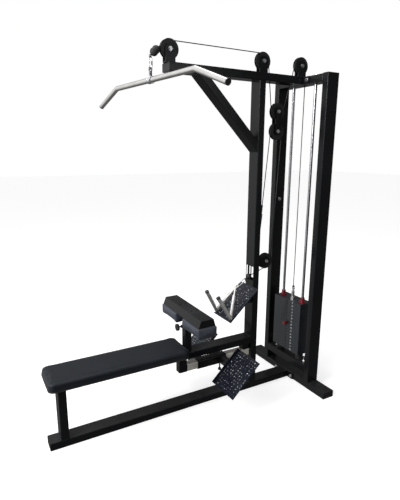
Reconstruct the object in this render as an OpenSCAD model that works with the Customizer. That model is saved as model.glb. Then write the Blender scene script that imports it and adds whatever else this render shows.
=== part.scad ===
// Lat pulldown and low row machine.
// +X runs from the seat to the weight stack, +Y to the far side, +Z up.
// Each part is drawn with the main upright's front face at x = 0 and the floor at z = 0, then
// placed() moves it along X so that the origin lies under the middle of the whole machine.

/* [Frame] */
// Wide side of the frame tube
tube_w = 100; // [96:1:104]
// Narrow side of the frame tube
tube_t = 50; // [48:1:52]
// Wall thickness of the frame tube
tube_wall = 3; // [2:0.5:4]
// Outside corner radius of the frame tube
tube_r = 5; // [3.5:0.5:8]
// Height of the frame, without the pulleys
frame_h = 2280; // [2240:10:2320]
// Length of the floor beam ahead of the main upright
base_front = 1470; // [1450:10:1500]
// Reach of the top beam ahead of the main upright
beam_front = 650; // [645:5:680]
// Front face of the main upright to the front face of the stack frame
stack_x = 380; // [376:1:384]
// Length of the cross foot under the stack
foot_len = 870; // [800:10:900]
// Outside width of the stack frame
stack_frame_w = 540; // [520:10:560]
// Top face of the seat beam
seat_beam_z = 425; // [420:5:440]

/* [Pulleys and cables] */
// Radius of a pulley at its rims
pulley_r = 58; // [56:1:60]
// Radius from a pulley's centre to the cable's centre line
groove_r = 50; // [49:0.5:50]
// Width of a pulley
pulley_w = 22; // [20:1:24]
// Diameter of the cables
cable_d = 6; // [5:0.5:6]
// Height of the three top pulleys' axles
top_axle_z = 2355; // [2350:1:2360]
// Bolt that each pulley turns on
axle_d = 12; // [10:1:12]

/* [Weight stack] */
// Number of plates, the head plate included
plate_count = 16; // [14:1:16]
// Height taken by each plate
plate_pitch = 26; // [25:1:26]
// Width of a plate
plate_w = 300; // [280:10:310]
// Depth of a plate
plate_d = 118; // [110:2:126]
// Distance between the two guide rods
rod_spacing = 220; // [210:5:220]
// Diameter of the guide rods
rod_d = 20; // [18:1:22]
// Plate that the selector pin is under, counted from the bottom
pin_plate = 8; // [6:1:9]

/* [Seat and pads] */
// Length of the seat pad
seat_len = 930; // [900:10:950]
// Width of the seat pad
seat_w = 280; // [260:10:300]
// Thickness of the seat pad's foam
seat_foam = 47; // [40:1:55]
// Width of one thigh pad
thigh_pad_w = 233; // [220:1:240]

/* [Handles] */
// Straight middle length of the lat bar
bar_mid = 890; // [800:10:900]
// Length of each angled end of the lat bar
bar_end = 270; // [200:10:270]
// Droop of the angled ends
bar_droop = 20; // [10:1:30]
// Diameter of the lat bar
bar_d = 32; // [28:1:34]
// Height of the lat bar at rest
bar_z = 2176; // [2160:1:2180]
// Turn of the lat bar away from square at rest
bar_yaw = 7; // [0:1:15]

/* [Footplates] */
// Width of each lower footplate
foot_w = 240; // [200:10:250]
// Length of each lower footplate
foot_l = 294; // [280:2:300]
// Inner edge of each lower footplate from the centre line
foot_in = 145; // [135:5:150]
// Width of the handle tray
tray_w = 220; // [200:10:230]
// Length of the handle tray
tray_l = 318; // [300:2:320]

/* [Hidden] */

eps = 0.01;
half_w = tube_w / 2;
stack_cx = stack_x + tube_w / 2;
stack_half = stack_frame_w / 2;
inner_half = stack_half - tube_t;
beam_z = frame_h - tube_t;
flange_t = 8;
brace_k = 1807;             // x + z along the diagonal brace's centre line
brace_half = tube_t / sqrt(2);
window_z = [862, 965];
window_y = 44;
bolt_d = 12;
bolt_head_r = 10.4;
bolt_head_h = 8;

// Pulley places: [x, z] of each axle
front_axle = [-630, top_axle_z];
middle_axle = [50, top_axle_z];
rear_axle = [stack_cx - groove_r, top_axle_z];
row_axle = [135, 988];
float_up_axle = [190, 2044];
float_low_axle = [190, 1913];
strap_y = 14;
strap_t = 6;
strap_w = 65;
bearing_r = 16;
run_gap = 0.05;

// Weight stack levels
base_top = 178;
bumper_h = 50;
stack_z = base_top + bumper_h;
plate_h = plate_pitch - 0.5;
head_z = stack_z + (plate_count - 1) * plate_pitch;
head_top = head_z + plate_h;
plate_x = stack_cx + 63 - plate_d;
pin_z = stack_z + pin_plate * plate_pitch + plate_h / 2;
stem_r = 12.5;
stem_top = head_top + 52;
coupling_top = stem_top + 40;

// Row cable: anchor on the upright, stop ball and handle
anchor_top = [90, 1374];
anchor_low = [70, 1196];
row_exit = [12, 893];
ball_c = [-8, 0, 886];
row_dir = [-0.848, 0, -0.53];
row_fall = 32;
leg_end = [-221.6, 95, 633.3];
grip_end = [-311, 78, 788];

// Lat bar: the cable leaves the front pulley at 45 degrees
leave = groove_r * sin(45);
bar_tan = [front_axle[0] - leave, 0, top_axle_z + leave];
bar_ball = bar_tan + [-53.4, 0, -53.4];
bar_ring = bar_tan + [-84, 0, -84];
bar_x = bar_ring[0];
ring_r = 7;
bar_link_wire = 7;
droop_run = bar_end * cos(bar_droop);
droop_fall = bar_end * sin(bar_droop);

// Seat and thigh pads
seat_x0 = -1475;
board_t = 10;
pad_z = seat_beam_z + board_t;
post_x = -1406;
thigh_x = -518;
thigh_z = 737;
thigh_pad_z = 612;
thigh_pad_in = 44;
thigh_sleeve_top = 626;
thigh_inner = 43.4;
thigh_pin_z = 606;
thigh_step = 30;
pin_gap = 0.5;

// Foot rail under the seat beam
rail_z = 272;
rail_s = 55;
rail_x0 = -530;
hanger = 60;
carriage_x = [-445, -210];
carriage_wall = 4;
carriage_gap = 0.8;
foot_low = [-386, 204];
foot_t = 5;
stub_x = -237;
stub_z = 268;
foot_step = 60;
foot_pin_x = -245;

// Handle tray
tray_low = [-231, 604.5];
tray_tilt = 42.7;

// A cable touches a pulley of centre a where the normal n has (b - a) . n = k
function touch_angle(a, b, k, side) =
  atan2(b[1] - a[1], b[0] - a[0]) + side * acos(k / norm(b - a));
function on_groove(a, ang) = a + groove_r * [cos(ang), sin(ang)];
mid_ang = touch_angle(middle_axle, float_up_axle, 2 * groove_r, 1);
rear_ang = touch_angle(rear_axle, float_up_axle, 2 * groove_r, -1) + 360;
row_ang = touch_angle(float_low_axle, row_axle, 0, 1);
anchor_ang = touch_angle(float_low_axle, anchor_top, groove_r, -1) + 360;
exit_ang = touch_angle(row_axle, row_exit, groove_r, 1);
slot_mid_x = strand_x(middle_axle, mid_ang);
slot_rear_x = strand_x(rear_axle, rear_ang);

frame_x = -(seat_x0 + plate_x + plate_d) / 2;

module placed()
  translate([frame_x, 0, 0])
    children();

module rounded_rect(w, h, r) {
  square([w - 2 * r, h], center = true);
  square([w, h - 2 * r], center = true);
  for (sx = [-1, 1], sy = [-1, 1])
    translate([sx * (w / 2 - r), sy * (h / 2 - r)])
      circle(r = r, $fn = 32);
}

// Rectangular tube along +Z, w along X and t along Y
module box_tube(w, t, len, wall = tube_wall, r = tube_r)
  linear_extrude(len)
    difference() {
      rounded_rect(w, t, r);
      rounded_rect(w - 2 * wall, t - 2 * wall, r - wall + 0.5);
    }

// Tube along +X from x0 to x1, lying flat with its wide side across, underside at z
module beam_x(x0, x1, z)
  translate([x0, 0, z + tube_t / 2])
    rotate([0, 90, 0])
      box_tube(tube_t, tube_w, x1 - x0);

// Tube along Y between -half and half, lying flat, underside at z
module beam_y(half, z)
  translate([stack_cx, -half, z + tube_t / 2])
    rotate([-90, 0, 0])
      box_tube(tube_w, tube_t, 2 * half);

// Round rod between two points
module rod_between(a, b, r, fn = 32) {
  d = b - a;
  len = norm(d);
  translate(a)
    rotate([0, acos(d[2] / len), atan2(d[1], d[0])])
      cylinder(h = len, r = r, $fn = fn);
}

// Shaft across the machine, centred on y = 0
module cross_pin(x, z, r, len, fn = 48)
  translate([x, len / 2, z])
    rotate([90, 0, 0])
      cylinder(h = len, r = r, $fn = fn);

// Hexagonal bolt head on a washer, growing from the origin along +Z
module bolt_head() {
  cylinder(h = 2, r = bolt_head_r + 2.5, $fn = 32);
  translate([0, 0, 2 - eps])
    cylinder(h = bolt_head_h, r = bolt_head_r, $fn = 6);
}

// ---- Frame ----

module base_beam()
  color("#1b1c1e") placed()
    beam_x(-base_front, stack_x - flange_t, 0);

module rear_foot()
  color("#1b1c1e") placed()
    difference() {
      beam_y(foot_len / 2, 0);
      flange_holes(0, 88, stack_x - 1, 6);
    }

module seat_post()
  color("#1b1c1e") placed()
    translate([post_x + tube_t / 2, 0, tube_t])
      box_tube(tube_t, tube_w, seat_beam_z - 2 * tube_t);

// Seat beam with the hanger at the front of the foot rail and the block at its rear
module seat_beam()
  color("#1b1c1e") placed() {
    beam_x(post_x - 10, 0, seat_beam_z - tube_t);
    translate([rail_x0 - hanger / 2, 0, rail_z])
      linear_extrude(seat_beam_z - tube_t - rail_z)
        rounded_rect(hanger, rail_s, tube_r);
    translate([-hanger / 2, 0, rail_z + rail_s])
      linear_extrude(seat_beam_z - tube_t - rail_z - rail_s)
        rounded_rect(hanger, rail_s, tube_r);
  }

// Upright with a cable window through its front, rear and far walls and a guide bar in the window
module main_upright()
  color("#1b1c1e") placed() {
    difference() {
      translate([tube_t / 2, 0, tube_t])
        box_tube(tube_t, tube_w, beam_z - tube_t);
      translate([-1, -window_y, window_z[0]])
        cube([tube_t + 2, 2 * window_y, window_z[1] - window_z[0]]);
      translate([6, 0, window_z[0]])
        cube([tube_t - 12, half_w + 1, window_z[1] - window_z[0]]);
    }
    translate([15, 34, window_z[0] - 12])
      cylinder(h = window_z[1] - window_z[0] + 24, r = 7, $fn = 32);
    for (z = [window_z[0] - 12, window_z[1] + 4])
      translate([9, 34, z])
        cube([12, half_w - tube_wall - 33.5, 8]);
  }

// Where the strand from a top pulley to the float crosses the middle of the top beam
function strand_x(a, ang) =
  on_groove(a, ang)[0] + (on_groove(a, ang)[1] - beam_z - tube_t / 2) * tan(ang);

// Top beam with a slot for each cable strand that crosses it
module top_beam()
  color("#1b1c1e") placed()
    difference() {
      beam_x(-beam_front, stack_x - flange_t, beam_z);
      for (x = [slot_mid_x, slot_rear_x])
        translate([x - 17, -12, beam_z - 1])
          cube([34, 24, tube_t + 2]);
    }

module diagonal_brace()
  color("#1b1c1e") placed()
    intersection() {
      translate([brace_k - beam_z - 60, 0, beam_z + 60])
        rotate([0, 135, 0])
          box_tube(tube_t, tube_w, 900);
      translate([-900, -half_w, 1500])
        cube([900, tube_w, beam_z - 1500]);
    }

module stack_upright(side)
  difference() {
    translate([stack_cx, side * (inner_half + tube_t / 2), tube_t])
      box_tube(tube_w, tube_t, frame_h - tube_t);
    if (side > 0)
      translate([stack_cx, inner_half - 1, 1410])
        rotate([-90, 0, 0])
          cylinder(h = 6, d = bolt_d + 0.4, $fn = 32);
  }

module near_stack_upright()
  color("#1b1c1e") placed()
    stack_upright(-1);

module far_stack_upright()
  color("#1b1c1e") placed()
    stack_upright(1);

module top_crossbeam()
  color("#1b1c1e") placed()
    difference() {
      beam_y(inner_half, beam_z);
      translate([stack_cx, 0, beam_z - 1])
        cylinder(h = tube_t + 2, r = 15, $fn = 48);
      for (s = [-1, 1])
        translate([stack_cx, s * rod_spacing / 2, beam_z - 1])
          cylinder(h = tube_t + 2, d = bolt_d + 0.4, $fn = 32);
      flange_holes(beam_z, 80, stack_x - 1, 6);
    }

// Crossbeam that carries the stack, with the steel plate welded on it
module lower_crossbeam()
  color("#1b1c1e") placed()
    difference() {
      union() {
        beam_y(inner_half, base_top - 8 - tube_t);
        translate([stack_x, -inner_half, base_top - 8])
          cube([tube_w, 2 * inner_half, 8]);
      }
      for (s = [-1, 1])
        translate([stack_cx, s * 164, base_top - 20])
          cylinder(h = 30, d = bolt_d + 0.4, $fn = 32);
    }

// Bolt holes of one joint flange, along X
module flange_holes(z, y, x, len)
  for (s = [-1, 1])
    translate([x, s * y, z + tube_t / 2])
      rotate([0, 90, 0])
        cylinder(h = len, d = bolt_d + 0.4, $fn = 32);

module flange(z, y)
  difference() {
    translate([stack_x - flange_t, -y - 20, z + 1])
      cube([flange_t, 2 * y + 40, tube_t - 2]);
    flange_holes(z, y, stack_x - flange_t - 1, flange_t + 2);
  }

module joint_flanges()
  color("#1b1c1e") placed() {
    flange(0, 88);
    flange(beam_z, 80);
  }

module flange_bolts(z, y)
  for (s = [-1, 1])
    translate([stack_x - flange_t, s * y, z + tube_t / 2])
      rotate([0, -90, 0]) {
        bolt_head();
        translate([0, 0, -24])
          cylinder(h = 24 + eps, d = bolt_d, $fn = 32);
      }

module frame_bolts()
  color("silver") placed() {
    flange_bolts(0, 88);
    flange_bolts(beam_z, 80);
    for (s = [-1, 1]) {
      translate([stack_cx, s * rod_spacing / 2, frame_h]) {
        bolt_head();
        translate([0, 0, -tube_t])
          cylinder(h = tube_t + eps, d = bolt_d, $fn = 32);
      }
      translate([stack_cx, s * 164, base_top]) {
        bolt_head();
        translate([0, 0, -18])
          cylinder(h = 54, d = bolt_d, $fn = 32);
      }
    }
    translate([stack_cx, inner_half, 1410])
      rotate([90, 0, 0]) {
        bolt_head();
        translate([0, 0, -4])
          cylinder(h = 4 + eps, d = bolt_d, $fn = 32);
      }
  }

// Plastic plug: a thin cover with a spigot that fills the tube's mouth
module tube_cap(w, t) {
  linear_extrude(2)
    rounded_rect(w, t, tube_r);
  translate([0, 0, -12])
    linear_extrude(12 + eps)
      rounded_rect(w - 2 * tube_wall - 1, t - 2 * tube_wall - 1, 2);
}

module tube_end_caps()
  color("#222326") placed() {
    for (end = [[-base_front, 0], [-beam_front, beam_z]])
      translate([end[0], 0, end[1] + tube_t / 2])
        rotate([0, -90, 0])
          tube_cap(tube_t, tube_w);
    for (s = [-1, 1]) {
      translate([stack_cx, s * foot_len / 2, tube_t / 2])
        rotate([-90 * s, 0, 0])
          tube_cap(tube_w, tube_t);
      translate([stack_cx, s * (inner_half + tube_t / 2), frame_h])
        tube_cap(tube_w, tube_t);
    }
  }

// ---- Pulleys ----

// Flat strap with one round end; len from its foot to the axle, along +Z
module strap(w, len)
  difference() {
    union() {
      translate([-w / 2, 0, 0])
        cube([w, strap_t, len]);
      translate([0, strap_t, len])
        rotate([90, 0, 0])
          cylinder(h = strap_t, r = w / 2, $fn = 64);
    }
    translate([0, strap_t + 1, len])
      rotate([90, 0, 0])
        cylinder(h = strap_t + 2, d = axle_d + 2 * run_gap, $fn = 48);
  }

// Foot plate with its two straps, standing on z = 0 under the axle
module pulley_bracket(len) {
  translate([-strap_w / 2, -strap_y - strap_t, 0])
    cube([strap_w, 2 * (strap_y + strap_t), strap_t]);
  for (y = [-strap_y - strap_t, strap_y])
    translate([0, y, 0])
      strap(strap_w, len);
}

// Three brackets on the top beam and one behind the main upright
module pulley_brackets()
  color("#1b1c1e") placed() {
    for (a = [front_axle, middle_axle, rear_axle])
      translate([a[0], 0, frame_h])
        pulley_bracket(a[1] - frame_h);
    translate([tube_t, 0, row_axle[1]])
      rotate([0, 90, 0])
        pulley_bracket(row_axle[0] - tube_t);
  }

// Axle bolt with a head on the near side, a nut on the far side and a spacer on each side
module axle(a) {
  cross_pin(a[0], a[1], axle_d / 2, 2 * (strap_y + strap_t) + 8);
  for (s = [-1, 1])
    translate([a[0], s * (strap_y + strap_t), a[1]])
      rotate([-90 * s, 0, 0])
        bolt_head();
  for (s = [-1, 1])
    translate([a[0], s * (strap_y - 0.3), a[1]])
      rotate([90 * s, 0, 0])
        cylinder(h = 7.5, r = 9, $fn = 32);
}

module pulley_axles()
  color("silver") placed()
    for (a = [front_axle, middle_axle, rear_axle, row_axle])
      axle(a);

module float_axles()
  color("silver") placed()
    for (a = [float_up_axle, float_low_axle])
      axle(a);

// Grooved pulley with its ball bearing as a separate ring
module pulley(a)
  translate([a[0], 0, a[1]])
    rotate([90, 0, 0]) {
      rotate_extrude($fn = 72)
        polygon([
          [bearing_r + run_gap, -pulley_w / 2 + 3], [30, -pulley_w / 2 + 3],
          [34, -pulley_w / 2], [pulley_r, -pulley_w / 2],
          [pulley_r, -pulley_w / 2 + 3], [groove_r - cable_d / 2 - 0.5, -3.6],
          [groove_r - cable_d / 2 - 0.5, 3.6], [pulley_r, pulley_w / 2 - 3],
          [pulley_r, pulley_w / 2], [34, pulley_w / 2],
          [30, pulley_w / 2 - 3], [bearing_r + run_gap, pulley_w / 2 - 3]
        ]);
      rotate_extrude($fn = 48)
        translate([axle_d / 2 + run_gap, -5.5])
          square([bearing_r - axle_d / 2 - run_gap, 11]);
    }

module front_pulley()
  color("#141516") placed()
    pulley(front_axle);

module middle_pulley()
  color("#141516") placed()
    pulley(middle_axle);

module rear_pulley()
  color("#141516") placed()
    pulley(rear_axle);

module row_pulley()
  color("#141516") placed()
    pulley(row_axle);

module float_upper_pulley()
  color("#141516") placed()
    pulley(float_up_axle);

module float_lower_pulley()
  color("#141516") placed()
    pulley(float_low_axle);

module float_side_plates()
  color("#1b1c1e") placed()
    for (y = [-strap_y - strap_t, strap_y])
      difference() {
        union() {
          translate([float_low_axle[0] - 25, y, float_low_axle[1]])
            cube([50, strap_t, float_up_axle[1] - float_low_axle[1]]);
          for (a = [float_up_axle, float_low_axle])
            translate([a[0], y + strap_t, a[1]])
              rotate([90, 0, 0])
                cylinder(h = strap_t, r = 25, $fn = 64);
        }
        for (a = [float_up_axle, float_low_axle])
          cross_pin(a[0], a[1], axle_d / 2 + run_gap, 60);
      }

// ---- Weight stack ----

module guide_rods()
  color("#c9cacc") placed()
    for (s = [-1, 1])
      translate([stack_cx, s * rod_spacing / 2, base_top])
        cylinder(h = beam_z - base_top, d = rod_d, $fn = 48);

module stack_bumpers()
  color("#202124") placed()
    for (s = [-1, 1])
      translate([stack_cx, s * rod_spacing / 2, base_top])
        difference() {
          cylinder(h = bumper_h, r = 30, $fn = 48);
          translate([0, 0, -1])
            cylinder(h = bumper_h + 2, d = rod_d + 1, $fn = 48);
        }

// One steel plate with its rod holes, its stem hole and the selector hole in its front
module weight_plate(i, rod_hole)
  difference() {
    translate([plate_x, -plate_w / 2, stack_z + i * plate_pitch])
      cube([plate_d, plate_w, plate_h]);
    for (y = [-rod_spacing / 2, 0, rod_spacing / 2])
      translate([stack_cx, y, stack_z + i * plate_pitch - 1])
        cylinder(h = plate_h + 2, r = y == 0 ? stem_r + 0.6 : rod_hole, $fn = 48);
    translate([plate_x - 1, 0, stack_z + i * plate_pitch + plate_h / 2])
      rotate([0, 90, 0])
        cylinder(h = plate_d / 2, r = 5.3, $fn = 32);
  }

module lower_weight_plates()
  color("#2e3238") placed()
    for (i = [0 : pin_plate - 1])
      weight_plate(i, rod_d / 2 + 1.5);

module upper_weight_plates()
  color("#2e3238") placed()
    for (i = [pin_plate : plate_count - 2])
      weight_plate(i, rod_d / 2 + 1.5);

module head_plate()
  color("#2e3238") placed()
    weight_plate(plate_count - 1, 16.05);

// Flanged plastic bushings that run on the guide rods
module guide_bushings()
  color("#7d1726") placed()
    for (s = [-1, 1])
      translate([stack_cx, s * rod_spacing / 2, head_z])
        difference() {
          union() {
            cylinder(h = plate_h + 38, r = 16, $fn = 48);
            translate([0, 0, plate_h])
              cylinder(h = 8, r = 27, $fn = 48);
          }
          translate([0, 0, -1])
            cylinder(h = plate_h + 40, r = rod_d / 2 + 0.3, $fn = 48);
        }

// Selector stem: drilled bar through the plates, head nut and cable coupling
module selector_stem()
  color("#b9bbbd") placed()
    difference() {
      union() {
        translate([stack_cx, 0, stack_z + 4])
          cylinder(h = stem_top - stack_z - 4, r = stem_r, $fn = 48);
        translate([stack_cx, 0, head_top])
          cylinder(h = 14, r = 21, $fn = 6);
        translate([stack_cx, 0, stem_top - eps])
          cylinder(h = coupling_top - stem_top, r = 7, $fn = 32);
        translate([stack_cx, 0, coupling_top + 5])
          sphere(r = 10, $fn = 32);
      }
      for (i = [0 : plate_count - 1])
        translate([stack_cx - stem_r - 1, 0, stack_z + i * plate_pitch + plate_h / 2])
          rotate([0, 90, 0])
            cylinder(h = 2 * stem_r - 4, r = 5.3, $fn = 32);
    }

// Steel pin with its round knob moulded on
module selector_pin()
  color("#8c1c2c") placed()
    translate([plate_x - 28, 0, pin_z])
      rotate([0, 90, 0]) {
        cylinder(h = 22, r = 14, $fn = 48);
        cylinder(h = 26, r = 9, $fn = 48);
        cylinder(h = 81, r = 5, $fn = 32);
      }

// Cord from the head plate's front edge to the side of the selector knob
lanyard_path = [
  [374.5, 2, 634], [371, 2.2, 634], [368.5, 4, 631], [367.5, 7, 624], [367, 12, 605],
  [366, 19, 575], [365, 27, 540], [364, 34, 505], [363, 39.5, 475], [361.5, 41, 461],
  [360, 38, 452], [359, 31, 448.6], [358.5, 23, 448.5], [358, 14.4, 448.5]
];

module pin_lanyard()
  color("#141516") placed()
    swept_tube(lanyard_path, 1.5, 8);

// ---- Cables ----

function ring_dir(p, i) =
  let (a = p[max(i - 1, 0)], b = p[min(i + 1, len(p) - 1)], d = b - a)
  d / norm(d);

function ring(p, i, r, n) =
  let (
    d = ring_dir(p, i),
    u0 = cross(d, [0, 1, 0.3]),
    u = u0 / norm(u0),
    v = cross(d, u)
  )
  [for (k = [0 : n - 1]) p[i] + r * (cos(360 * k / n) * u + sin(360 * k / n) * v)];

// Closed tube of n sides swept along a list of points
module swept_tube(p, r, n) {
  m = len(p);
  pts = [for (i = [0 : m - 1]) each ring(p, i, r, n)];
  sides = [
    for (i = [0 : m - 2], k = [0 : n - 1])
      [i * n + k, i * n + (k + 1) % n, (i + 1) * n + (k + 1) % n, (i + 1) * n + k]
  ];
  ends = [[for (k = [0 : n - 1]) n - 1 - k], [for (k = [0 : n - 1]) (m - 1) * n + k]];
  polyhedron(points = pts, faces = concat(sides, ends));
}

// Points of a cable lying in a pulley's groove, from angle a0 to a1
function turn(a, a0, a1) =
  let (n = ceil(abs(a1 - a0) / 9))
  [for (i = [0 : n]) let (p = on_groove(a, a0 + (a1 - a0) * i / n)) [p[0], 0, p[1]]];

// Point on the way from p to q, t past p, both [x, z]
function past(p, q, t) =
  let (c = p + (q - p) * t / norm(q - p))
  [c[0], 0, c[1]];

module cable(path)
  swept_tube(path, cable_d / 2, 12);

// Fixed run of the lat cable: front pulley to middle pulley, then the turn over the rear one
module lat_cable_run()
  color("#2a2b2d") placed() {
    cable(concat(turn(front_axle, 135, 90), turn(middle_axle, 90, mid_ang)));
    cable(turn(rear_axle, 0, rear_ang));
  }

// The two strands that hold the float up, with the turn round its upper pulley
module float_lat_strands()
  color("#2a2b2d") placed()
    cable(concat(
      [past(on_groove(middle_axle, mid_ang), on_groove(float_up_axle, mid_ang + 180), 1)],
      turn(float_up_axle, mid_ang + 180, rear_ang + 180),
      [past(on_groove(rear_axle, rear_ang), on_groove(float_up_axle, rear_ang + 180), 1)]
    ));

module row_pulley_strand()
  color("#2a2b2d") placed()
    rod_between(
      past(on_groove(row_axle, row_ang), on_groove(float_low_axle, row_ang), 1),
      past(on_groove(float_low_axle, row_ang), on_groove(row_axle, row_ang), 1),
      cable_d / 2, 24
    );

// From the anchor up to the float, with the turn round its lower pulley
module row_anchor_strand()
  color("#2a2b2d") placed()
    cable(concat(
      [[anchor_top[0], 0, anchor_top[1]]],
      turn(float_low_axle, anchor_ang, row_ang)
    ));

// Turnbuckle and lug that hold the row cable's end to the back of the main upright
module row_cable_anchor()
  color("#3a3b3d") placed() {
    translate([tube_t, -5, anchor_low[1] - 26])
      cube([32, 10, 30]);
    rod_between([anchor_low[0], 0, anchor_low[1]], past(anchor_top, anchor_low, 1), 5);
    rod_between([73, 0, 1222], [86, 0, 1338], 10);
  }

module stack_cable()
  color("#2a2b2d") placed()
    translate([stack_cx, 0, coupling_top + 15.4])
      cylinder(h = top_axle_z - coupling_top - 16.4, d = cable_d, $fn = 24);

module bar_cable()
  color("#2a2b2d") placed()
    rod_between(bar_tan - [0.7, 0, 0.7], bar_ball + [23.9, 0, 23.9], cable_d / 2, 24);

// From the row pulley through the window to the stop ball
module row_lead_cable()
  color("#2a2b2d") placed()
    cable(concat(
      turn(row_axle, row_ang, exit_ang),
      [[row_exit[0] + 0.6, 0, row_exit[1] + 0.2]]
    ));

// ---- Lat bar ----

// Ring of round wire about the origin, its hole along Z
module wire_ring(r, wire)
  rotate_extrude($fn = 48)
    translate([r, 0])
      circle(d = wire, $fn = 20);

// Round-ended wire link about the origin in the XZ plane; len between its two end wires
module wire_link(len, r, wire) {
  for (s = [0, 180])
    rotate([0, s, 0])
      translate([0, 0, len / 2 - r])
        rotate([90, 0, 0])
          rotate_extrude(angle = 180, $fn = 48)
            translate([r, 0])
              circle(d = wire, $fn = 20);
  for (s = [-1, 1])
    translate([s * r, 0, r - len / 2])
      cylinder(h = len - 2 * r, d = wire, $fn = 20);
}

// Two-lobed rubber stop on the cable, with the ring at the cable's end
module bar_stop_ball()
  color("#161718") placed() {
    for (t = [-6.4, 6.4])
      translate(bar_ball + [t, 0, t])
        sphere(r = 24, $fn = 48);
    rod_between(bar_ball - [10, 0, 10], bar_ring + [5.4, 0, 5.4], 4);
    translate(bar_ring)
      rotate([90, 0, 120])
        wire_ring(ring_r, 5);
  }

bar_link_top = bar_ring[2] - ring_r + 2.5 + bar_link_wire / 2 + 0.3;
bar_link_len = 70;
bar_eye_z = bar_link_top - bar_link_len + 7.3 - 10;

module bar_carabiner()
  color("silver") placed()
    translate([bar_x, 0, bar_link_top - bar_link_len / 2])
      rotate([0, 0, 30])
        wire_link(bar_link_len, 13, bar_link_wire);

// Swivel eye over the bar's collar
module bar_swivel_eye()
  color("#8f9192") placed() {
    translate([bar_x, 0, bar_z + bar_d / 2 + 6])
      cylinder(h = bar_eye_z - 8 - bar_z - bar_d / 2 - 6, r = 9, $fn = 32);
    translate([bar_x, 0, bar_eye_z])
      rotate([90, 0, 120])
        wire_ring(10, 7);
  }

// Far half of the bar: straight, a slightly proud bend, then the drooping end
module bar_half() {
  rotate([-90, 0, 0])
    cylinder(h = bar_mid / 2, d = bar_d, $fn = 48);
  translate([0, bar_mid / 2, 0])
    sphere(d = bar_d + 0.6, $fn = 64);
  translate([0, bar_mid / 2, 0])
    rotate([-90 - bar_droop, 0, 0])
      cylinder(h = bar_end, d = bar_d, $fn = 48);
}

module lat_bar()
  color("#c9cacc") placed()
    translate([bar_x, 0, bar_z])
      rotate([0, 0, bar_yaw]) {
        for (s = [0, 1])
          mirror([0, s, 0])
            bar_half();
        cross_pin(0, 0, bar_d / 2 + 5, 36);
        cylinder(h = bar_d / 2 + 5.5, r = 8, $fn = 32);
      }

module bar_end_caps()
  color("#18191a") placed()
    translate([bar_x, 0, bar_z])
      rotate([0, 0, bar_yaw])
        for (s = [-1, 1])
          translate([0, s * (bar_mid / 2 + droop_run), -droop_fall])
            rotate([-s * (90 + bar_droop), 0, 0])
              cylinder(h = 6, d = bar_d + 1, $fn = 48);

// ---- Row handle ----

row_ring_at = 31;
row_link_top = row_ring_at + ring_r - 5.8;
row_link_len = 78;
row_eye_at = row_link_top + row_link_len - 7.3 + 12;

// Rubber ball that stops in the window, with the ring at the cable's end
module row_stop_ball()
  color("#161718") placed() {
    translate(ball_c)
      sphere(r = 21, $fn = 48);
    rod_between(ball_c, ball_c + (row_ring_at - ring_r) * row_dir, 4);
    translate(ball_c + row_ring_at * row_dir)
      rotate([0, -row_fall, 0])
        wire_ring(ring_r, 5);
  }

module row_carabiner()
  color("silver") placed()
    translate(ball_c + (row_link_top + row_link_len / 2) * row_dir)
      rotate([0, 90 - row_fall, 0])
        wire_link(row_link_len, 10, 6);

row_eye = ball_c + row_eye_at * row_dir;

// V handle: eye, two legs and two capped grips
module row_handle()
  color("#b9bbbd") placed() {
    translate(row_eye)
      rotate([0, -row_fall, 0])
        wire_ring(12, 8);
    translate(row_eye + 17 * row_dir)
      sphere(r = 9.5, $fn = 40);
    for (s = [-1, 1]) {
      leg = [leg_end[0], s * leg_end[1], leg_end[2]];
      tip = [grip_end[0], s * grip_end[1], grip_end[2]];
      hub = row_eye + 17 * row_dir;
      rod_between(hub, leg, 7);
      rod_between(hub + (leg - hub) * 0.27, leg, 12.5);
      translate(leg)
        sphere(r = 14, $fn = 32);
      rod_between(leg, tip, 13.5);
      rod_between(tip, tip + (tip - leg) * 0.06, 15);
    }
  }

// Tilted tray that the row handle rests on, with a lip and two ribs
module handle_tray()
  color("#1d1e20") placed() {
    difference() {
      translate([tray_low[0], 0, tray_low[1]])
        rotate([0, -tray_tilt, 0]) {
          translate([0, -tray_w / 2, -4])
            cube([tray_l, tray_w, 4]);
          translate([0, -tray_w / 2, -4])
            cube([4, tray_w, 16]);
        }
      translate([0, -tray_w / 2 - 1, tray_low[1]])
        cube([20, tray_w + 2, tray_l]);
    }
    for (y = [-40, 34])
      translate([0, y + 6, 0])
        rotate([90, 0, 0])
          linear_extrude(6)
            polygon([[0, 815], [0, 695], [-130, 695]]);
  }

// ---- Seat and thigh pads ----

module seat_board()
  color("#232425") placed()
    translate([seat_x0 + seat_len / 2, 0, seat_beam_z])
      linear_extrude(board_t)
        rounded_rect(seat_len - 16, seat_w - 16, 40);

module seat_pad()
  color("#20262c") placed()
    translate([seat_x0 + seat_len / 2, 0, pad_z])
      linear_extrude(seat_foam)
        rounded_rect(seat_len, seat_w, 45);

// Outer post with the threaded barrel that the pop pin slides in
module thigh_outer_post()
  color("#1b1c1e") placed()
    difference() {
      union() {
        translate([thigh_x, 0, seat_beam_z])
          box_tube(50, 50, thigh_sleeve_top - seat_beam_z, 3, 4);
        translate([thigh_x - 25 - 18, 0, thigh_pin_z])
          rotate([0, 90, 0])
            cylinder(h = 20, r = 11, $fn = 32);
      }
      translate([thigh_x - 25 - 19, 0, thigh_pin_z])
        rotate([0, 90, 0])
          cylinder(h = 24, r = 5.06, $fn = 32);
    }

// Pull pin with its knob, drawn back just clear of the inner post
module thigh_pop_pin()
  color("#2b2c2e") placed()
    translate([thigh_x - thigh_inner / 2 - pin_gap, 0, thigh_pin_z])
      rotate([0, -90, 0]) {
        cylinder(h = 45, r = 5, $fn = 32);
        translate([0, 0, 43])
          cylinder(h = 14, r = 24, $fn = 64);
      }

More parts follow.
